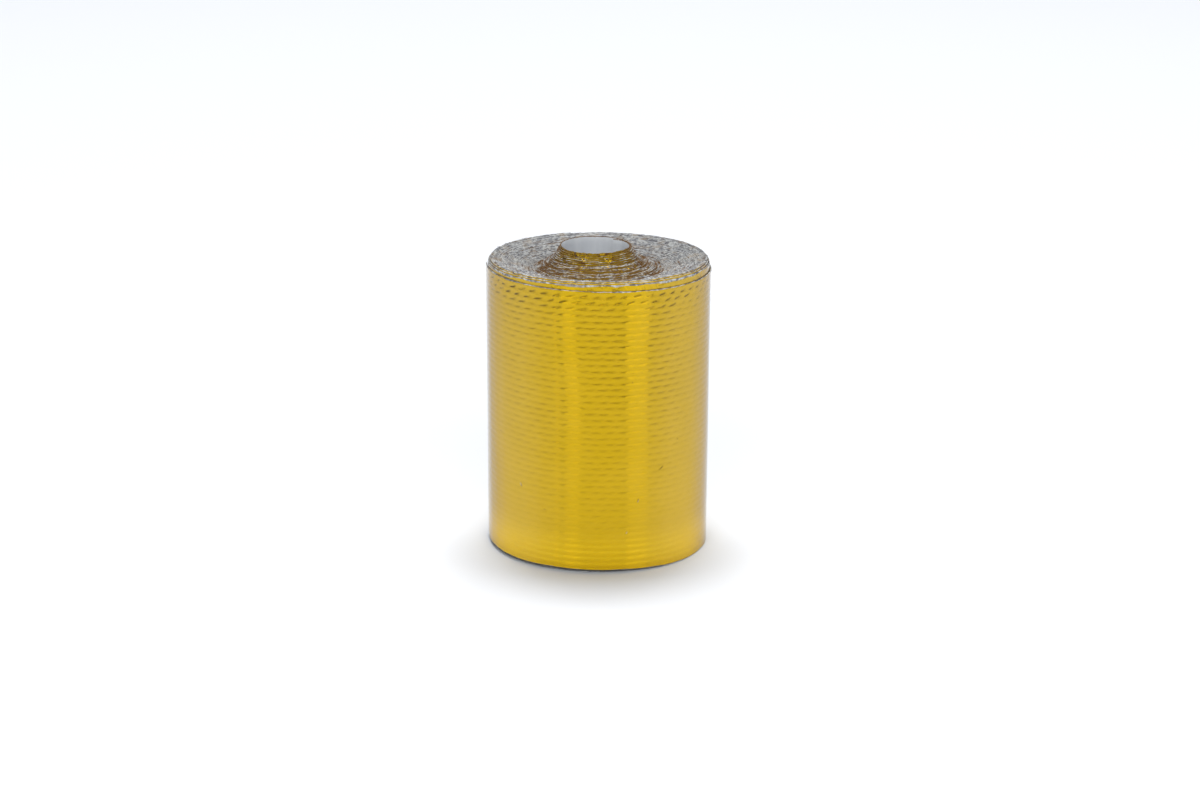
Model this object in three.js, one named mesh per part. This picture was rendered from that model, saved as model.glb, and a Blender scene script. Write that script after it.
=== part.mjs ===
// A hand-sized roll of reflective heat tape, standing on one end.
//
// The tape is an amber metallised film on woven glass cloth, with a release liner behind it. It is wound
// on itself with no core, so the roll is one turned solid with an open bore. The turns have slid along
// each other: the innermost ones stand up in a mound round the bore, the turns round the mound's foot are
// the lowest, and from there the end rises again to the rim. All turns are equally wide, so the lower end
// repeats the upper end one tape width below it, and the roll stands on its lowest turns.
//
// Millimetres, +Z up, the roll's axis is Z, and the origin is on the floor under the middle of the roll.

import * as THREE from "three";

// The tape
const tapeWidth = 50;
const tapeThickness = 0.22;

// The winding from the bore outwards, in turns
const boreRadius = 5.85;
const moundTurns = 24;
const footTurns = 6;
const dishTurns = 30;

// How far each part of the winding has slid up past the turns that the roll stands on
const lipRise = 4;
const rimRise = 2.05;
const outerTurnRises = [1.7, 1.4, 0.4];

// How finely the solid shows the winding: turns that share one step, and flats round the roll
const turnsPerStep = 3;
const flatsAround = 48;

const filmColour = 0xc9a51e;

// Lists the steps of the winding from the bore outwards. Each holds a number of turns at one rise.
function windingSteps() {
  const steps = [];
  const addStep = (turns, rise) => {
    const innerRadius = steps.length ? steps.at(-1).outerRadius : boreRadius;
    steps.push({ innerRadius, outerRadius: innerRadius + turns * tapeThickness, rise });
  };

  const moundSteps = Math.max(1, Math.round(moundTurns / turnsPerStep));
  for (let i = 0; i < moundSteps; i++) {
    addStep(moundTurns / moundSteps, (lipRise * (moundSteps - i)) / moundSteps);
  }

  addStep(footTurns, 0);

  const dishSteps = Math.max(1, Math.round(dishTurns / turnsPerStep));
  for (let i = 1; i <= dishSteps; i++) {
    addStep(dishTurns / dishSteps, (rimRise * i) / dishSteps);
  }

  for (const rise of outerTurnRises) {
    addStep(1, rise);
  }
  return steps;
}

// The closed section of the winding, as radius and height: out along the lower end, up the outermost
// turn, back in along the upper end and down the bore.
function windingSection(steps) {
  const lowerEnd = steps.flatMap(({ innerRadius, outerRadius, rise }) => [
    new THREE.Vector2(innerRadius, rise),
    new THREE.Vector2(outerRadius, rise),
  ]);
  const upperEnd = lowerEnd.map(({ x, y }) => new THREE.Vector2(x, y + tapeWidth)).reverse();
  return [...lowerEnd, ...upperEnd, lowerEnd[0].clone()];
}

// The whole roll, turned from its section. A lathe turns about Y, so the result is tipped up onto Z.
function tapeRoll() {
  const geometry = new THREE.LatheGeometry(windingSection(windingSteps()), flatsAround);
  geometry.rotateX(Math.PI / 2);
  const goldFilm = new THREE.MeshStandardMaterial({ color: filmColour, roughness: 0.25, metalness: 1 });
  const mesh = new THREE.Mesh(geometry, goldFilm);
  mesh.name = "tape_roll";
  return mesh;
}

const roll = new THREE.Group();
roll.name = "reflective_heat_tape";
roll.add(tapeRoll());

export default roll;
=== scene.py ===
# %% [markdown]
# # A roll of reflective heat tape
#
# The object is a hand-sized roll of gold tape that stands on its end: an amber metallised film on woven
# glass cloth, with a pale release liner behind it, wound on itself with no core. The lesson builds the
# roll the way it was wound, as one long ribbon that runs along a spiral, and then gives its film, its cut
# cloth and its liner a finish each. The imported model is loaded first, because every size follows it.

import bpy
import numpy as np
from mathutils import Matrix, Vector


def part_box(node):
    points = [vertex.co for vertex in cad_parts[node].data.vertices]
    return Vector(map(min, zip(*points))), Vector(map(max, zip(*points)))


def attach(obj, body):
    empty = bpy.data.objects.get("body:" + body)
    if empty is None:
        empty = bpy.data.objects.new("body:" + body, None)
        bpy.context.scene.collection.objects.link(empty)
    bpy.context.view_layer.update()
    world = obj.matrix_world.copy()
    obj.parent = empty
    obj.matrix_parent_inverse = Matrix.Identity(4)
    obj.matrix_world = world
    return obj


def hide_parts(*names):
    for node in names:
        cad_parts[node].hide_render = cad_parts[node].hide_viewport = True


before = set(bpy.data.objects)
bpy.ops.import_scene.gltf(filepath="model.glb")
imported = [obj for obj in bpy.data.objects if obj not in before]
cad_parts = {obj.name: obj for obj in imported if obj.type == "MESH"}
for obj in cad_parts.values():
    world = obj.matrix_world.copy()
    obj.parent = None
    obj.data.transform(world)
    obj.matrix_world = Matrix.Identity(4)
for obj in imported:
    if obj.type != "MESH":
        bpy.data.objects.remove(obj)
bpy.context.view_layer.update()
MM = 0.001

roll_low, roll_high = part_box("tape_roll")
OUTER_RADIUS = roll_high.x
ROLL_HEIGHT = roll_high.z
print("roll", round(2 * OUTER_RADIUS / MM, 2), "mm across,", round(ROLL_HEIGHT / MM, 2), "mm high")

# %% [markdown]
# ## The winding
#
# A ring for each turn would be easy, but a real roll has one continuous tape, whose two ends show: one at
# the bore and one on the outside. So everything below is a function of the turn `t`, counted from the
# bore, and the azimuth and radius follow from it. The azimuth is measured from the front of the roll
# towards its right side, and the tape runs outwards clockwise, seen from above.

# %% The tape and its spiral
TAPE_WIDTH = 50 * MM
TAPE_THICKNESS = 0.19 * MM
FILM_THICKNESS = 0.03 * MM
BORE_RADIUS = 5.85 * MM
WHOLE_TURNS = 61
BORE_END_AZIMUTH = np.radians(148)
TAIL_AZIMUTH = np.radians(-91)

TURNS = WHOLE_TURNS + (BORE_END_AZIMUTH - TAIL_AZIMUTH) / (2 * np.pi)
TURN_PITCH = (OUTER_RADIUS - TAPE_THICKNESS - BORE_RADIUS) / TURNS


def azimuth_of(turn):
    """The azimuth falls by a whole circle a turn, and is TAIL_AZIMUTH at the last one."""
    return TAIL_AZIMUTH - 2 * np.pi * (turn - TURNS)


def inner_radius_of(turn):
    """The radius of the tape's inner face grows by one pitch a turn."""
    return BORE_RADIUS + TURN_PITCH * turn


def turn_at_radius(radius):
    return (radius - BORE_RADIUS) / TURN_PITCH


tape_length = np.pi * (OUTER_RADIUS**2 - BORE_RADIUS**2) / TURN_PITCH
print(round(TURNS, 2), "turns,", round(TURN_PITCH / MM, 3), "mm a turn")
print(round(tape_length, 2), "m of tape")

# %% [markdown]
# ## How the turns have slid
#
# The turns have slid along each other, as they do in any roll that is squeezed: the inner ones stand up in
# a mound round the bore, the ones at its foot are the lowest and carry the roll, and the end rises again
# to the rim. The last turn hangs lower once more. A smooth curve would look machined, so the mound drops
# by a random share at each turn, and a little smooth noise runs along the whole tape.

# %% The rise of every turn
rng = np.random.default_rng(7)

LIP_RISE = ROLL_HEIGHT - TAPE_WIDTH
MOUND_FOOT_RADIUS = 11.2 * MM
DISH_START_RADIUS = 12.4 * MM
RIM_RADIUS = 18.9 * MM
RIM_RISE = 2.05 * MM
THIRD_TURN_RISE = 1.75 * MM
SECOND_TURN_RISE = 1.4 * MM
OUTER_TURN_RISE = 0.4 * MM
MOUND_SHARPNESS = 1.25
DROP_EVENNESS = 7.0


def smooth_noise(turn, step, seed):
    """Random values from -1 to 1, one every `step` turns, joined by a smooth curve."""
    values = np.random.default_rng(seed).uniform(-1, 1, int((TURNS + 4) / step) + 4)
    place = np.clip((turn + 1) / step, 0, len(values) - 2)
    low = np.floor(place).astype(int)
    share = place - low
    share = share * share * (3 - 2 * share)
    return values[low] * (1 - share) + values[low + 1] * share


mound_turns = int(turn_at_radius(MOUND_FOOT_RADIUS))
steepness = np.linspace(MOUND_SHARPNESS, 1 / MOUND_SHARPNESS, mound_turns) ** 3
drops = rng.gamma(DROP_EVENNESS, 1.0, mound_turns) * steepness
mound_rises = LIP_RISE * (1 - np.concatenate([[0], np.cumsum(drops)]) / drops.sum())
# The last three turns: how many turns before the tape's end each level starts or stops, and its rise
last_knots = (
    (2.95, RIM_RISE),
    (2.75, THIRD_TURN_RISE),
    (2.1, THIRD_TURN_RISE),
    (1.95, SECOND_TURN_RISE),
    (0.98, SECOND_TURN_RISE),
    (0.62, OUTER_TURN_RISE),
    (0, OUTER_TURN_RISE),
)
knot_turns = np.concatenate([
    np.arange(mound_turns + 1),
    [turn_at_radius(DISH_START_RADIUS), turn_at_radius(RIM_RADIUS)],
    [TURNS - before_end for before_end, rise in last_knots],
])
knot_rises = np.concatenate([mound_rises, [0, RIM_RISE], [rise for before_end, rise in last_knots]])

TURN_WANDER = 0.06 * MM
OUTER_TILT = 0.35 * MM
BORE_END_DIP = 0.55 * MM
BORE_END_TURNS = [0, 0.06, 0.17, 0.24]
BORE_END_SHARES = [1, 0.7, 0.4, 0]
LIP_TILT = 0.42 * MM
LIP_TILT_TURNS = [1, 6]
LONG_WAVE, SHORT_WAVE = 0.21, 0.037


def rise_of(turn):
    """How far the tape has slid up at a turn: the knots above, joined by straight runs, plus the noise
    that makes neighbouring turns uneven, the outermost turn's tilt, and the lip's tilt less the dip at
    the tape's end at the bore."""
    rise = np.interp(turn, knot_turns, knot_rises)
    wander = TURN_WANDER * (smooth_noise(turn, LONG_WAVE, 11) + 0.6 * smooth_noise(turn, SHORT_WAVE, 12))
    calm = np.interp(turn, [TURNS - 3, TURNS - 2], [1, 0.35])
    outer = np.interp(turn, [TURNS - 0.9, TURNS - 0.62], [0, 1])
    tilt = -OUTER_TILT * np.sin(azimuth_of(turn)) * outer
    dip = BORE_END_DIP * np.interp(turn, BORE_END_TURNS, BORE_END_SHARES)
    lip_tilt = LIP_TILT * (0.5 - 0.5 * np.cos(azimuth_of(turn))) * np.interp(turn, LIP_TILT_TURNS, [1, 0])
    return np.clip(rise + wander * calm + tilt, 0, LIP_RISE) + lip_tilt - dip


places = {"lip": 0.5, "mound foot": mound_turns, "rim": TURNS - 4, "outermost turn": TURNS - 0.3}
for name, turn in places.items():
    print(name, "rises", round(float(rise_of(np.array([turn]))[0]) / MM, 2), "mm")

# %% [markdown]
# ## The ribbon
#
# The tape's section has nine points: up the film, over the film's edge onto the cloth that stands out of
# it, across the cloth's cut edge, and down the liner. Carried along the spiral it makes a closed band, so
# it could be a curve with a bevel, but a curve gives every section the same shape. As a grid of numpy
# arrays, each station has its own height, fray and lean. The grid also carries the film's UV map and, at
# each point, how far the adhesive has soaked the cloth there.


# %% A grid of points as a mesh
SHARP_ANGLE = np.radians(35)


def mesh_from_grid(name, points, materials, material_rows, uv=None, soak=None, smooth_rows=()):
    """points is (stations, section, 3). Quads join each section point to the next one round the section
    and each station to the next, and the two ends are closed by one face each."""
    stations, section = points.shape[:2]
    station, row = np.meshgrid(np.arange(stations - 1), np.arange(section), indexing="ij")
    following = (row + 1) % section
    quads = np.stack([
        station * section + row,
        station * section + following,
        (station + 1) * section + following,
        (station + 1) * section + row,
    ], -1).reshape(-1, 4)
    caps = [list(range(section))[::-1], list(range((stations - 1) * section, stations * section))]
    mesh = bpy.data.meshes.new(name)
    mesh.from_pydata(points.reshape(-1, 3), [], quads.tolist() + caps)
    for material in materials:
        mesh.materials.append(material)
    face_rows = np.concatenate([np.asarray(material_rows)[row.ravel()], [1, 1]])
    mesh.polygons.foreach_set("material_index", face_rows.astype(np.int32))
    is_smooth = np.concatenate([np.isin(row.ravel(), smooth_rows), [False, False]])
    mesh.polygons.foreach_set("use_smooth", is_smooth)
    mesh.set_sharp_from_angle(angle=SHARP_ANGLE)
    if uv is not None:
        layer = mesh.uv_layers.new(name="tape")
        corners = np.zeros(len(mesh.loops), np.int32)
        mesh.loops.foreach_get("vertex_index", corners)
        layer.data.foreach_set("uv", uv.reshape(-1, 2)[corners].ravel())
    if soak is not None:
        values = mesh.attributes.new("soak", "FLOAT", "POINT")
        values.data.foreach_set("value", np.repeat(soak, section).astype(np.float32))
    mesh.update()
    piece = bpy.data.objects.new(name, mesh)
    bpy.context.scene.collection.objects.link(piece)
    print(name, "has", 2 * len(quads) + 2 * (section - 2), "triangles")
    return piece


# %% Where a point of the tape lies
BORE_SHIFT = -0.64 * MM
BORE_SHIFT_END = 13.3 * MM


def place_on_roll(turn, outwards, height):
    """A point `outwards` from the tape's inner face, as X, Y and Z. The inner turns have slid sideways as
    well as up: their centre moves off the axis by BORE_SHIFT at the bore and less further out."""
    radius = inner_radius_of(turn) + outwards
    azimuth = azimuth_of(turn)
    slid = BORE_SHIFT * np.clip((BORE_SHIFT_END - radius) / (BORE_SHIFT_END - BORE_RADIUS), 0, 1)
    return np.stack([radius * np.sin(azimuth) + slid, -radius * np.cos(azimuth), height], -1)


def stations_between(first_turn, last_turn, spacing):
    """Turns at equal steps along the tape: the length up to a turn grows with the square of the radius."""
    low, high = inner_radius_of(first_turn), inner_radius_of(last_turn)
    count = int(np.pi * (high**2 - low**2) / TURN_PITCH / spacing) + 2
    return turn_at_radius(np.sqrt(np.linspace(low**2, high**2, count)))

# %% [markdown]
# ## Materials as expressions
#
# A finish is a small graph of nodes. Written node by node it hides the idea, so a socket is wrapped in a
# class whose operators add the Math nodes: `1 - mask` then reads as what it is. Every other node comes from
# one method that takes its type, its settings and the values or links of its sockets.


# %% Sockets with arithmetic
class Wire:
    """An output socket. Arithmetic on it adds a Math node and gives that node's output."""

    def __init__(self, socket):
        self.socket = socket

    def math(self, operation, *operands):
        tree = self.socket.id_data
        return Finish.add(tree, "Math", {"operation": operation}, dict(enumerate(operands)))

    def __add__(self, other):
        return self.math("ADD", self, other)

    def __sub__(self, other):
        return self.math("SUBTRACT", self, other)

    def __rsub__(self, other):
        return self.math("SUBTRACT", other, self)

    def __mul__(self, other):
        return self.math("MULTIPLY", self, other)

    def __truediv__(self, other):
        return self.math("DIVIDE", self, other)

    def __pow__(self, other):
        return self.math("POWER", self, other)

    def __mod__(self, other):
        return self.math("FLOORED_MODULO", self, other)

    __radd__ = __add__
    __rmul__ = __mul__

    def direction_from(self, other):
        """The angle whose sine goes with this wire and whose cosine goes with the other."""
        return self.math("ARCTAN2", self, other)

    def floor(self):
        return self.math("FLOOR", self)

    def cosine(self):
        return self.math("COSINE", self)

    def bell(self, width):
        """1 at zero and falling off smoothly over `width` on both sides: e to the minus square."""
        scaled = self / width
        return self.math("POWER", np.e, -1 * (scaled * scaled))

    def ramp(self, low, high):
        """0 below `low`, 1 above `high`, and a smooth step between them."""
        settings = {"interpolation_type": "SMOOTHSTEP"}
        return Finish.add(self.socket.id_data, "MapRange", settings, {0: self, 1: low, 2: high})


class Finish:
    """A material with a Principled shader, whose nodes come from `node`."""

    def __init__(self, name, **shader_values):
        self.material = bpy.data.materials.new(name)
        self.material.use_nodes = True
        self.tree = self.material.node_tree
        self.shader = self.tree.nodes["Principled BSDF"]
        for label, value in shader_values.items():
            self.shader.inputs[label.replace("_", " ").title().replace("Ior", "IOR")].default_value = value

    @staticmethod
    def add(tree, kind, settings, inputs, output=0):
        """The one place that adds a node: settings first, then each socket's value or link."""
        made = tree.nodes.new("ShaderNode" + kind)
        for label, value in settings.items():
            setattr(made, label, value)
        for label, value in inputs.items():
            if isinstance(value, Wire):
                tree.links.new(value.socket, made.inputs[label])
            else:
                made.inputs[label].default_value = value
        return Wire(made.outputs[output])

    def node(self, kind, settings=None, inputs=None, output=0):
        return self.add(self.tree, kind, settings or {}, inputs or {}, output)

    def noise(self, vector, scale, detail=2.0, roughness=0.5):
        inputs = {"Vector": vector, "Scale": scale, "Detail": detail, "Roughness": roughness}
        return self.node("TexNoise", {}, inputs)

    def split(self, vector, parts=3):
        """The first parts of a vector as wires: X and Y, or X, Y and Z."""
        return [self.node("SeparateXYZ", {}, {0: vector}, part) for part in range(parts)]

    def mix(self, share, first, second):
        """The colour `first` where share is 0 and `second` where it is 1."""
        return self.node("Mix", {"data_type": "RGBA"}, {"Factor": share, 6: first, 7: second}, 2)

    def drive(self, label, wire):
        self.tree.links.new(wire.socket, self.shader.inputs[label])


# %% [markdown]
# ## The film
#
# The amber film is a metal mirror under a clear coat. It is pressed onto a coarse cloth, whose fine ribs
# spread a reflection up and down but hardly sideways: that is an anisotropic highlight, turned upright. The
# cloth also shows as rows of slanted creases, short near the upper edge and joined into lines below it.
# They follow the tape's own UV map, where one unit across is a crease's period and one unit up is a row.
# Along the creases the film's colour is also darkened, as painted shade.
# The film of the inner turns shows only as slivers, and there it is crumpled instead, most near the bore.

# %% The gold film
ROW_PITCH = 1.08 * MM
CREASE_PERIOD = 2.3 * MM
ROWS = TAPE_WIDTH / ROW_PITCH
FILM_GOLD = (0.60, 0.38, 0.006, 1)
# Painted shade: the dark brown that the creases darken the film towards
FILM_PAINTED_SHADE = (0.22, 0.135, 0.002, 1)
FILM_PALE = (0.63, 0.40, 0.010, 1)
# Painted light: the bright gold of the lowest rows
FILM_PAINTED_LIGHT = (0.90, 0.58, 0.010, 1)
# How many of each mark fit in a metre: grain, puckers, glints and buckles
GRAIN, PUCKERS, GLINTS, BUCKLES = 2600.0, 500.0, 700.0, 40.0
GLINT_INNER_RADIUS, GLINT_OUTER_RADIUS = 8 * MM, 11 * MM
# How many rows above the lower edge get the painted light
PAINTED_LIGHT_ROWS = 8


def creases_of(film, tape, up):
    """On the UV map: how strong the crease is, the place along it in periods, and how near the upper edge
    is. A crease is a bell round a slanted line, shifted by half a period in every second row."""
    near_top = up.ramp(ROWS - 4.5, ROWS - 1.5)
    wobble = film.noise(tape, 0.9, 1.0) - 0.5
    shifted = film.split(tape, 1)[0] + 0.5 * (up.floor() % 2.0) + 0.5 * wobble
    along = (shifted + 0.5) % 1.0 - 0.5
    offset = (up % 1.0) - 0.5 + (0.18 + 0.4 * near_top) * along
    length = ((2 * np.pi * along).cosine() + 0.9 * (1 - near_top)).ramp(-0.9, 0.4)
    uneven = film.noise(tape, 1.3, 3.0).ramp(0.30, 0.62)
    strength = 0.15 + 0.3 * up.ramp(0, ROWS) + 0.5 * near_top
    return offset.bell(0.13) * length * uneven * strength, along, near_top


def gold_film(name, woven):
    """The heights below are in millimetres, and the Bump node's distance turns them into metres."""
    film = Finish(
        name,
        metallic=1.0,
        anisotropic=1.0,
        anisotropic_rotation=0.25,
        specular_tint=(0.5, 0.45, 0.4, 1),
        coat_roughness=0.15,
        coat_ior=1.5,
        sheen_weight=0.05,
        sheen_roughness=0.45,
        sheen_tint=(1.0, 0.97, 0.92, 1),
    )
    place = film.node("TexCoord", output="Object")
    blotches = film.noise(place, 180.0, 3.0)
    colour = film.mix(blotches.ramp(0.35, 0.75), FILM_GOLD, FILM_PALE)
    height = 0.0015 * film.noise(place, GRAIN, 2.0) + 0.004 * film.noise(place, PUCKERS, 2.0)
    height = height + 1.1 * film.noise(place, BUCKLES, 0.0)
    if woven:
        tape = film.node("UVMap", {"uv_map": "tape"})
        up = film.split(tape, 2)[1] + 0.3 * (film.noise(tape, 0.5, 1.0) - 0.5)
        crease, along, near_top = creases_of(film, tape, up)
        # Painted shade: the film's colour darkens along each crease, most near the upper edge
        colour = film.mix(crease * (0.35 + 0.6 * near_top), colour, FILM_PAINTED_SHADE)
        # Painted light: the lowest rows are painted brighter, making up for the shadowed floor that they
        # reflect
        colour = film.mix(1 - up.ramp(0, PAINTED_LIGHT_ROWS), colour, FILM_PAINTED_LIGHT)
        rib = (2 * np.pi * up).cosine() * (0.75 + 0.25 * (2 * np.pi * along).cosine())
        height = height + (0.008 + 0.01 * up.ramp(0, ROWS)) * rib - 0.05 * crease
    else:
        x, y = film.split(place, 2)
        near_bore = 1 - ((x * x + y * y) ** 0.5).ramp(GLINT_INNER_RADIUS, GLINT_OUTER_RADIUS)
        height = height + (0.1 + 0.2 * near_bore) * film.noise(place, GLINTS, 1.0).ramp(0.50, 0.80)
    film.drive("Base Color", colour)
    film.drive("Roughness", 0.17 + 0.05 * blotches)
    facing = film.node("LayerWeight", {}, {"Blend": 0.5}, 1)
    film.drive("Coat Weight", 0.12 + 0.65 * facing.ramp(0.02, 0.32))
    film.drive("Normal", film.node("Bump", {}, {"Strength": 1.0, "Distance": MM, "Height": height}))
    return film.material


wrap_film = gold_film("gold_film_woven", True)
turn_film = gold_film("gold_film_plain", False)

# %% [markdown]
# ## Cloth edge and liner
#
# The cut edges of the cloth are glass yarns: pale grey, matt, and speckled where adhesive and dust sit
# between them. The liner behind the tape is smooth pale paper, which shows as the wall of the bore.

# %% The cloth's cut edge
CLOTH_PALE = (0.64, 0.65, 0.64, 1)
CLOTH_GREY = (0.16, 0.16, 0.18, 1)
CLOTH_TAN = (0.46, 0.37, 0.27, 1)
CLOTH_BROWN = (0.16, 0.085, 0.03, 1)
MIDDLE_RADIUS = 13 * MM
# How many speckles and how many patches of adhesive fit in a metre
SPECKLES, PATCHES = 1800.0, 600.0


def glass_cloth():
    """Speckled pale yarn, browned by adhesive where the points' own value `soak` is high. The speckles
    lie along the turns, so their noise runs over the azimuth, the radius and the height."""
    cloth = Finish("glass_cloth_edge", roughness=0.75, specular_ior_level=0.3)
    place = cloth.node("TexCoord", output="Object")
    x, y, z = cloth.split(place)
    radius = (x * x + y * y) ** 0.5
    along = MIDDLE_RADIUS * x.direction_from(-1 * y)
    wound = cloth.node("CombineXYZ", {}, {0: along, 1: radius, 2: z})
    soak = cloth.node("Attribute", {"attribute_name": "soak"}, output=2)
    speckle = cloth.noise(wound, SPECKLES, 3.0, 0.6)
    patches = cloth.noise(wound, PATCHES, 2.0)
    colour = cloth.mix(speckle.ramp(0.40, 0.62), CLOTH_GREY, CLOTH_PALE)
    colour = cloth.mix(0.5 * patches.ramp(0.52, 0.66), colour, CLOTH_TAN)
    colour = cloth.mix((soak + 0.8 * (patches - 0.5)).ramp(0.25, 0.75), colour, CLOTH_BROWN)
    cloth.drive("Base Color", colour)
    bump = cloth.node("Bump", {}, {"Strength": 0.8, "Distance": 0.05 * MM, "Height": speckle})
    cloth.drive("Normal", bump)
    return cloth.material


cloth_edge = glass_cloth()

# %% The release liner
LINER_PALE = (0.86, 0.885, 0.91, 1)
LINER_GREY = (0.70, 0.725, 0.76, 1)


def release_liner():
    liner = Finish("release_liner", roughness=0.45, specular_ior_level=0.4)
    place = liner.node("TexCoord", output="Object")
    stretched = liner.node("Mapping", {}, {"Vector": place, "Scale": (1.0, 1.0, 0.12)})
    clouds = liner.noise(stretched, 300.0, 3.0)
    liner.drive("Base Color", liner.mix(clouds.ramp(0.35, 0.7), LINER_GREY, LINER_PALE))
    bump = liner.node("Bump", {}, {"Strength": 0.4, "Distance": 0.03 * MM, "Height": clouds})
    liner.drive("Normal", bump)
    return liner.material


liner_paper = release_liner()

# %% [markdown]
# ## The inner turns
#
# Sixty turns of plain tape, of which only the edges and a sliver of film show. Each piece keeps to one
# length of the same tape, so that no mesh grows past 200,000 triangles, and its stations are closer
# together near the bore, where the bends are tight.

# %% The ribbon's section and edges
EDGE_DEPTH = 1.2 * MM
GROOVE_DEPTH = 0.09 * MM
YARN_PITCH = 1.15 * MM
FRAY = 0.035 * MM
FRAY_WAVE = 0.009
BARE_WAVE = 0.013
BARE_AT_BORE, BARE_IN_MOUND, BARE_AT_RIM = 0.02 * MM, 0.05 * MM, 0.09 * MM
BARE_ON_RING_TWO, BARE_OUTSIDE = 0.28 * MM, 0.11 * MM
LEFT_LEAN = 0.22 * MM
LEFT_LEAN_TURNS = 0.03
SOAK_WAVE_ROUND, SOAK_WAVE_ALONG = 0.47, 0.021


def tape_along(turn):
    """The length of tape from the bore to a turn."""
    return np.pi * (inner_radius_of(turn) ** 2 - BORE_RADIUS**2) / TURN_PITCH


def bare_cloth_of(turn):
    """How far the cloth stands out of the film: little inside, and most on ring two."""
    ring_two = TURNS - 2.1
    knots = [0, 8, ring_two, ring_two + 0.1, TURNS - 1.05, TURNS - 0.95]
    widths = [BARE_AT_BORE, BARE_IN_MOUND, BARE_AT_RIM, BARE_ON_RING_TWO, BARE_ON_RING_TWO, BARE_OUTSIDE]
    return np.interp(turn, knots, widths) * (1 + 0.6 * smooth_noise(turn, BARE_WAVE, 21))


def frayed(turn):
    """The cut yarns' ends: a scallop a yarn, with some yarns longer than others."""
    scallop = np.cos(2 * np.pi * tape_along(turn) / YARN_PITCH)
    return FRAY * (0.5 * scallop + smooth_noise(turn, FRAY_WAVE, 22))


def lean_of(turn):
    """How far the upper edge leans out: ring two does, at the left end of its run."""
    return LEFT_LEAN * np.exp(-(((turn - (TURNS - 1.0)) / LEFT_LEAN_TURNS) ** 2))


def soak_of(turn):
    """How brown the adhesive has made the cut edge: fully at the lip, and turn by turn elsewhere."""
    usual = np.interp(turn, [0, 0.9, 2, 9, mound_turns, mound_turns + 4], [1, 0.9, 0.65, 0.5, 0.45, 0.1])
    by_turn = 0.3 * smooth_noise(turn, SOAK_WAVE_ROUND, 23)
    by_turn = by_turn * np.interp(turn, [TURNS - 6, TURNS - 3], [1, 0.3])
    return np.clip(usual + by_turn + 0.35 * smooth_noise(turn, SOAK_WAVE_ALONG, 24), 0, 1)


def ribbon(name, first_turn, last_turn, spacing):
    turn = stations_between(first_turn, last_turn, spacing)
    low = rise_of(turn)
    top = low + TAPE_WIDTH + frayed(turn)
    film_top = top - bare_cloth_of(turn)
    lean = lean_of(turn)
    full = np.full_like(turn, TAPE_THICKNESS)
    under_film = full - FILM_THICKNESS
    section = [
        (full, low),
        (full, top - EDGE_DEPTH),
        (full + lean, film_top),
        (under_film + lean, film_top - 0.01 * MM),
        (under_film * 0.8 + lean, top - 0.02 * MM),
        (under_film * 0.4 + lean, top),
        (under_film * 0.08 + lean, top - GROOVE_DEPTH),
        (0 * full, top - EDGE_DEPTH),
        (0 * full, low),
    ]
    points = np.stack([place_on_roll(turn, outwards, height) for outwards, height in section], 1)
    film, cloth, liner = 0, 1, 2
    rows = [film, film, cloth, cloth, cloth, cloth, liner, liner, cloth]
    materials = [turn_film, cloth_edge, liner_paper]
    return mesh_from_grid(name, points, materials, rows, soak=soak_of(turn), smooth_rows=(0, 1, 7))


MOUND_LAST_TURN = 26
DISH_LAST_TURN = 45
WRAP_OVERLAP = 0.03
wrap_first_turn = TURNS - 1 - WRAP_OVERLAP

mound = ribbon("mound_turns", 0, MOUND_LAST_TURN, 0.15 * MM)
dish = ribbon("dish_turns", MOUND_LAST_TURN, DISH_LAST_TURN, 0.17 * MM)
rim_turns = ribbon("rim_turns", DISH_LAST_TURN, wrap_first_turn, 0.18 * MM)

# %% [markdown]
# ## The outermost turn
#
# The last turn is the face of the roll, so it gets a grid fine enough to carry the cloth's relief as real
# shape: a rib for each row of yarn, higher crowns where the yarns cross, and shallow buckles that make the
# reflections wander. Near its cut end nothing holds the tape down, and the ribs stand out. Its upper edge
# flares a little at the right, and its lower edge leaves a gap over the floor at the front.

# %% The last turn and its relief
WRAP_STATIONS = 410
WRAP_ROWS = 230
RIB_HEIGHT = 0.008 * MM
TAIL_RIB_HEIGHT = 0.05 * MM
CROWN_HEIGHT = 0.008 * MM
BUCKLE_HEIGHT = 0.02 * MM
TAIL_LIFT = 0.12 * MM
LOOSE_TURNS, LIFT_TURNS = 0.035, 0.02
RIGHT_FLARE = 0.16 * MM
FLARE_AZIMUTH, FLARE_SPREAD = np.radians(92), np.radians(16)
FRONT_GAP = 0.3 * MM
FRONT_GAP_SPREAD = np.radians(35)


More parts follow.
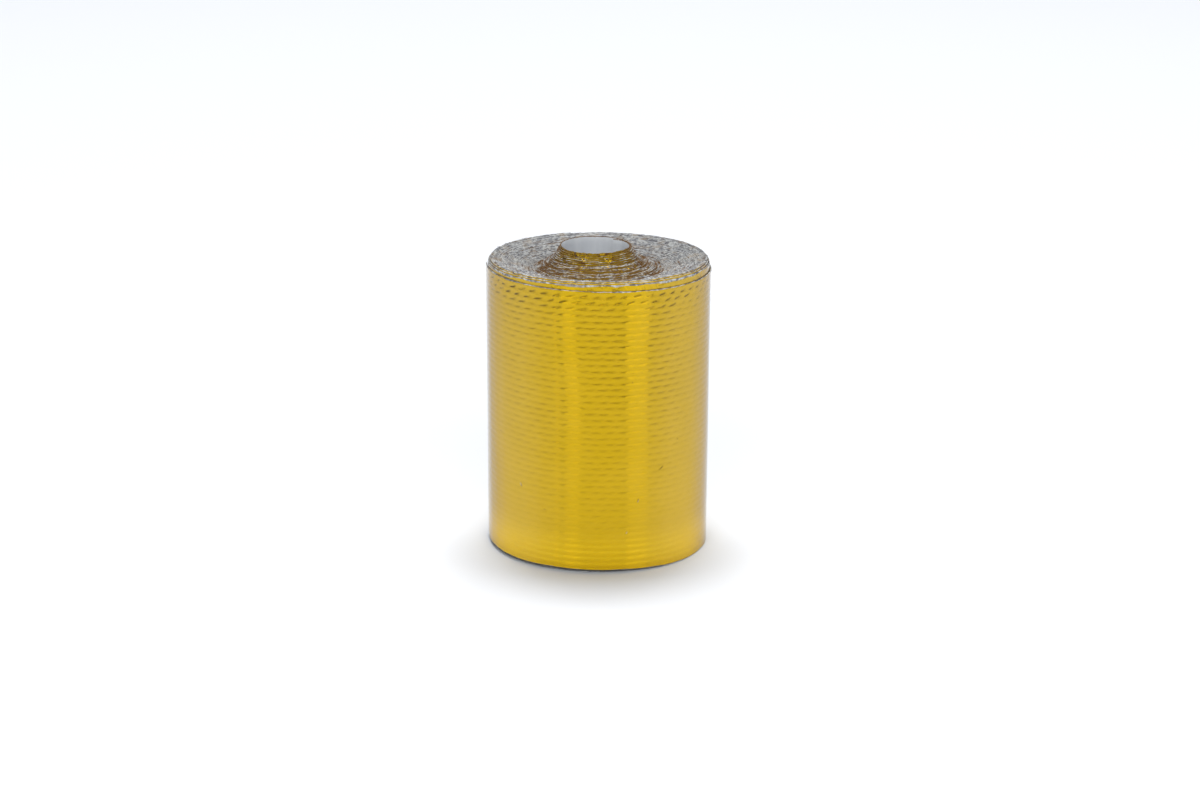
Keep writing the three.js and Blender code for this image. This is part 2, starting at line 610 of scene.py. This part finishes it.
def outer_wrap():
    turn = np.linspace(wrap_first_turn, TURNS, WRAP_STATIONS)
    low = rise_of(turn)
    bare = bare_cloth_of(turn)
    top = low + TAPE_WIDTH + frayed(turn)
    film_low = low + 0.3 * bare + FRONT_GAP * np.exp(-((azimuth_of(turn) / FRONT_GAP_SPREAD) ** 4))
    film_top = top - bare
    share = np.linspace(0, 1, WRAP_ROWS)[None, :]
    height = film_low[:, None] * (1 - share) + film_top[:, None] * share
    up = (height - low[:, None]) / ROW_PITCH
    across = (tape_along(turn) / CREASE_PERIOD)[:, None] + 0 * up
    to_tail = (TURNS - turn)[:, None]
    loose = np.exp(-((to_tail / LOOSE_TURNS) ** 2))
    rib = 0.5 + 0.5 * np.cos(2 * np.pi * up)
    crown = rib * np.cos(2 * np.pi * (across + 0.5 * (np.floor(up + 0.5) % 2)))
    buckle = smooth_noise(turn, 0.031, 31) + 0.5 * smooth_noise(turn, 0.012, 32)
    relief = RIB_HEIGHT * rib * (1 - loose) + TAIL_RIB_HEIGHT * rib * loose + CROWN_HEIGHT * crown
    relief = relief + BUCKLE_HEIGHT * buckle[:, None]
    azimuth = azimuth_of(turn)[:, None]
    flare = RIGHT_FLARE * np.exp(-(((azimuth - FLARE_AZIMUTH) / FLARE_SPREAD) ** 2))
    near_edge = np.clip(1 - (film_top[:, None] - height) / (1.0 * MM), 0, 1) ** 2
    lift = TAIL_LIFT * np.clip(1 - to_tail / LIFT_TURNS, 0, 1) ** 2
    outwards = TAPE_THICKNESS + relief + flare * near_edge + lift
    face = place_on_roll(turn[:, None], outwards, height)

    edge = outwards[:, -1]
    back = lift[:, 0]
    rim = [
        (edge - FILM_THICKNESS, film_top),
        (edge - 1.3 * FILM_THICKNESS, top),
        (back + 0.15 * TAPE_THICKNESS + edge - outwards[:, 0], top - 0.02 * MM),
        (back, top - EDGE_DEPTH),
        (back, film_low - 0.3 * bare),
        (outwards[:, 0] - FILM_THICKNESS, film_low - 0.3 * bare),
    ]
    others = np.stack([place_on_roll(turn, out, z) for out, z in rim], 1)
    points = np.concatenate([face, others], 1)
    uv = np.concatenate([np.stack([across, up], -1), np.zeros((len(turn), len(rim), 2))], 1)
    film, cloth, liner = 0, 1, 2
    rows = [film] * (WRAP_ROWS - 1) + [cloth, cloth, cloth, liner, liner, cloth, cloth]
    materials = [wrap_film, cloth_edge, liner_paper]
    smooth = tuple(range(WRAP_ROWS - 1))
    return mesh_from_grid("outer_wrap", points, materials, rows, uv, soak_of(turn), smooth)


wrap = outer_wrap()

# %% [markdown]
# ## Loose fibres
#
# Cut glass cloth sheds: short ends of yarn curl out along both edges of the outer turns, a few stand up at
# the tape's end at the bore, and some bits lie on the film. Each is a thin round strand along a bent line,
# and they are all made at once, as one array with an axis for the fibre, one for its stations and one for
# the points round it.

# %% Strands along bent lines
FIBRE_RADIUS = 0.035 * MM
FIBRE_STATIONS = 9
FIBRE_SIDES = 6
FIBRE_POINTS = FIBRE_STATIONS * FIBRE_SIDES
OFF_AXIS = [0.3, 0.5, 0.8]


def strands(start, along, bend):
    """Round strands along start + s * along + s * s * bend, for s from 0 to 1, thinner at both ends."""
    s = np.linspace(0, 1, FIBRE_STATIONS)[None, :, None]
    middle = start[:, None] + s * along[:, None] + s * s * bend[:, None]
    forward = along[:, None] + 2 * s * bend[:, None]
    forward = forward / np.linalg.norm(forward, axis=-1, keepdims=True)
    across = np.cross(forward, np.broadcast_to(OFF_AXIS, forward.shape))
    across = across / np.linalg.norm(across, axis=-1, keepdims=True)
    upward = np.cross(across, forward)
    angle = np.linspace(0, 2 * np.pi, FIBRE_SIDES, endpoint=False)[None, None, :, None]
    ring = np.cos(angle) * across[:, :, None] + np.sin(angle) * upward[:, :, None]
    radius = FIBRE_RADIUS * (1 - 0.7 * (2 * s - 1) ** 4)[..., None]
    return middle[:, :, None] + radius * ring


def directions_at(azimuth):
    """The unit vectors that point outwards and sideways at an azimuth."""
    sine, cosine, level = np.sin(azimuth), np.cos(azimuth), 0 * azimuth
    outward = np.stack([sine, -cosine, level], -1)
    sideways = np.stack([cosine, sine, level], -1)
    return outward, sideways


# %% Yarn ends along the edges
TOP_AZIMUTHS = [-7, -5.5, 12, 40]
BOTTOM_AZIMUTHS = [-3, 1, 27, 33, 40]
MORE_AT_TOP, MORE_AT_BOTTOM = 22, 16


def turn_at(azimuth, rings_in):
    """The turn at an azimuth in degrees, in the outermost turn or so many rings further in."""
    from_tail = (np.radians(azimuth) - TAIL_AZIMUTH) % (2 * np.pi)
    return TURNS - from_tail / (2 * np.pi) - rings_in


def edge_fibres():
    """Start, direction, bend and soak of the yarn ends: some at places seen in the photo, on the ring
    inside the outermost turn for the first two, and the rest at random all round."""
    draw = np.random.default_rng(41)
    top_azimuths = np.concatenate([TOP_AZIMUTHS, draw.uniform(-85, 265, MORE_AT_TOP)])
    bottom_azimuths = np.concatenate([BOTTOM_AZIMUTHS, draw.uniform(-85, 265, MORE_AT_BOTTOM)])
    azimuths = np.concatenate([top_azimuths, bottom_azimuths])
    is_top = np.arange(len(azimuths)) < len(top_azimuths)
    rings_in = np.where(is_top, draw.integers(0, 3, len(azimuths)), 0)
    rings_in[:2] = 1
    turn = turn_at(azimuths, rings_in)
    height = rise_of(turn) + np.where(is_top, TAPE_WIDTH - 0.08 * MM, 0.05 * MM)
    start = place_on_roll(turn, np.full_like(turn, 0.6 * TAPE_THICKNESS), height)
    outward, sideways = directions_at(azimuth_of(turn))
    sideways = sideways * draw.choice([-1, 1], len(turn))[:, None]
    rising = np.where(is_top, 1.0, -0.25)[:, None] * [0, 0, 1]
    length = draw.uniform(0.3, 0.8, len(turn))[:, None] * MM
    along = length * (0.45 * outward + 0.4 * rising + 0.5 * sideways)
    bend = length * (0.7 * sideways - 0.25 * outward - 0.15 * rising)
    return start, along, bend, np.zeros(len(turn))


# %% Bits on the film and curls at the bore
DARK_BEND = 0.15
# Azimuth in degrees, height in mm, length in mm, slope in degrees, and 1 where it is dark
SPECKS = (
    (-43.2, 14.9, 0.75, -65, 0),
    (14.3, 7.2, 0.45, 60, 0),
    (20.3, 12.7, 0.65, 70, 0),
    (-60.0, 22.9, 0.60, 20, 1),
    (17.0, 34.5, 0.35, -60, 1),
    (43.9, 23.0, 0.45, -45, 1),
    (32.6, 18.0, 0.90, 40, 1),
    (-28.5, 11.0, 0.40, 0, 1),
)
# Turn and length in mm
BORE_END_CURLS = ((0.02, 0.5), (0.05, 0.8), (0.09, 0.6))


def bend_where_dark(along, dark):
    """A slight bend to one side, whose direction is the strand's own with its axes exchanged."""
    return DARK_BEND * np.roll(along, 1, -1) * dark[:, None]


def specks_on_film():
    """Start, direction, bend and soak of the bits that lie just off the film of the outermost turn."""
    azimuth, height, length, slope, dark = np.array(SPECKS).T
    slope = np.radians(slope)
    outward, sideways = directions_at(np.radians(azimuth))
    start = (OUTER_RADIUS + 0.3 * FIBRE_RADIUS) * outward + height[:, None] * MM * [0, 0, 1]
    along = np.cos(slope)[:, None] * sideways + np.sin(slope)[:, None] * [0, 0, 1]
    along = length[:, None] * MM * along
    return start, along, bend_where_dark(along, dark), dark


def curls_at_bore():
    """Start, direction, bend and soak of the short stiff yarns that stand out of the tape's inner end."""
    turn, length = np.array(BORE_END_CURLS).T
    height = rise_of(turn) + TAPE_WIDTH - 0.1 * MM
    start = place_on_roll(turn, np.full_like(turn, 0.5 * TAPE_THICKNESS), height)
    outward = directions_at(azimuth_of(turn))[0]
    along = length[:, None] * MM * (0.55 * outward + [0, 0, 0.6])
    dark = np.ones(len(turn))
    return start, along, bend_where_dark(along, dark), dark


# %% All fibres as one mesh
def make_fibres():
    groups = [edge_fibres(), specks_on_film(), curls_at_bore()]
    start, along, bend, soak = (np.concatenate(parts) for parts in zip(*groups))
    rings = strands(start, along, bend)
    counts = [np.arange(len(rings)), np.arange(FIBRE_STATIONS - 1), np.arange(FIBRE_SIDES)]
    fibre, station, side = np.meshgrid(*counts, indexing="ij")
    base = (fibre * FIBRE_STATIONS + station) * FIBRE_SIDES
    here, following = base + side, base + (side + 1) % FIBRE_SIDES
    quads = np.stack([following, here, here + FIBRE_SIDES, following + FIBRE_SIDES], -1)
    first_points = np.arange(len(rings)) * FIBRE_POINTS
    last_points = first_points + FIBRE_POINTS - FIBRE_SIDES
    caps = [list(range(first, first + FIBRE_SIDES)) for first in first_points]
    caps = caps + [list(range(last, last + FIBRE_SIDES))[::-1] for last in last_points]
    mesh = bpy.data.meshes.new("loose_fibres")
    mesh.from_pydata(rings.reshape(-1, 3), [], quads.reshape(-1, 4).tolist() + caps)
    mesh.materials.append(cloth_edge)
    mesh.polygons.foreach_set("use_smooth", np.ones(len(mesh.polygons), bool))
    values = mesh.attributes.new("soak", "FLOAT", "POINT")
    values.data.foreach_set("value", np.repeat(soak, FIBRE_POINTS).astype(np.float32))
    piece = bpy.data.objects.new("loose_fibres", mesh)
    bpy.context.scene.collection.objects.link(piece)
    print(len(rings), "fibres")
    return piece


fibres = make_fibres()

# %% [markdown]
# ## Onto the roll's body
#
# All of it stands for the one turned solid of the imported model, so each piece rides on the only body, and
# that solid is hidden.

# %% Ride and replace
for piece in (mound, dish, rim_turns, wrap, fibres):
    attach(piece, "root")
    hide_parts("tape_roll")

# %% [markdown]
# ## Floor, light and camera
#
# The floor is a plain pale sheet, large enough that no view sees its end. A wide panel overhead lights it,
# a second one keeps its far part as bright, and a third lights the front and the bore. Upright panels
# round the front give the film the soft vertical bands that a bright cylinder shows in a studio.

# %% The floor
FLOOR_HALF = 8.0


def make_floor():
    finish = Finish("floor_white", roughness=0.9, specular_ior_level=0.0)
    finish.shader.inputs["Base Color"].default_value = (0.86, 0.885, 0.93, 1)
    corners = [(-FLOOR_HALF, -FLOOR_HALF, 0), (FLOOR_HALF, -FLOOR_HALF, 0), (FLOOR_HALF, FLOOR_HALF, 0),
               (-FLOOR_HALF, FLOOR_HALF, 0)]
    mesh = bpy.data.meshes.new("floor")
    mesh.from_pydata(corners, [], [(0, 1, 2, 3)])
    mesh.materials.append(finish.material)
    floor = bpy.data.objects.new("floor", mesh)
    bpy.context.scene.collection.objects.link(floor)


make_floor()

# %% The lights
WORLD_LIGHT = 0.06


def aim(obj, place, target):
    """Stands an object at a place with its -Z axis towards the target and +Y up."""
    place, target = Vector(place), Vector(target)
    turned = (target - place).to_track_quat("-Z", "Y")
    obj.matrix_world = Matrix.Translation(place) @ turned.to_matrix().to_4x4()


def panel(name, place, target, size, radiance):
    """A rectangular panel. Its power is its radiance times pi times its area."""
    light = bpy.data.lights.new(name, "AREA")
    light.shape = "RECTANGLE"
    light.size, light.size_y = size
    light.energy = radiance * np.pi * size[0] * size[1]
    obj = bpy.data.objects.new(name, light)
    bpy.context.scene.collection.objects.link(obj)
    aim(obj, place, target)


def upright_panel(name, azimuth_from, azimuth_to, height, radiance, distance=0.9):
    """A standing panel that fills the directions between two azimuths, in degrees from the front."""
    middle = np.radians((azimuth_from + azimuth_to) / 2)
    half = np.radians((azimuth_to - azimuth_from) / 2)
    place = (distance * np.sin(middle), -distance * np.cos(middle), height / 2 + 0.01)
    panel(name, place, (0, 0, height / 2 + 0.01), (2 * distance * np.tan(half), height), radiance)


panel("overhead", (0, 0.5, 2.5), (0, 0.5, 0), (1.1, 0.9), 19.2)
panel("front_high", (0, -1.0, 0.8), (0, 0, 0), (1.0, 0.5), 4.0)
panel("far_floor", (0, 3.0, 2.5), (0, 3.0, 0), (2.4, 1.0), 1.8)
upright_panel("front", -20.5, 29, 0.5, 0.08)
upright_panel("left_wide", -83, -44, 0.5, 0.32)
upright_panel("left_line", -44, -40, 0.5, 1.3)
upright_panel("left_bright", -33.5, -20.5, 0.5, 1.3)
upright_panel("right_bright", 29, 50, 0.5, 1.5)
upright_panel("right_wide", 50, 112, 0.5, 0.32)

world = bpy.data.worlds.new("studio")
world.use_nodes = True
world.node_tree.nodes["Background"].inputs["Color"].default_value = (1, 1, 1, 1)
world.node_tree.nodes["Background"].inputs["Strength"].default_value = WORLD_LIGHT
bpy.context.scene.world = world

# %% The camera
CAMERA_DISTANCE = 415 * MM
CAMERA_ELEVATION = np.radians(16.87)
CAMERA_ROLL = np.radians(0.25)
CAMERA_LENS = 69.7
AIM_POINT = Vector((0.28 * MM, 0, TAPE_WIDTH / 2 + OUTER_TURN_RISE - 0.55 * MM))


def make_camera():
    data = bpy.data.cameras.new("camera")
    data.lens = CAMERA_LENS
    data.sensor_width = 36
    data.clip_start = 0.01
    camera = bpy.data.objects.new("camera", data)
    bpy.context.scene.collection.objects.link(camera)
    back = Vector((0, -np.cos(CAMERA_ELEVATION), np.sin(CAMERA_ELEVATION)))
    aim(camera, AIM_POINT + CAMERA_DISTANCE * back, AIM_POINT)
    camera.matrix_world = camera.matrix_world @ Matrix.Rotation(CAMERA_ROLL, 4, "Z")
    bpy.context.scene.camera = camera


make_camera()
bpy.context.scene.view_settings.view_transform = "Standard"
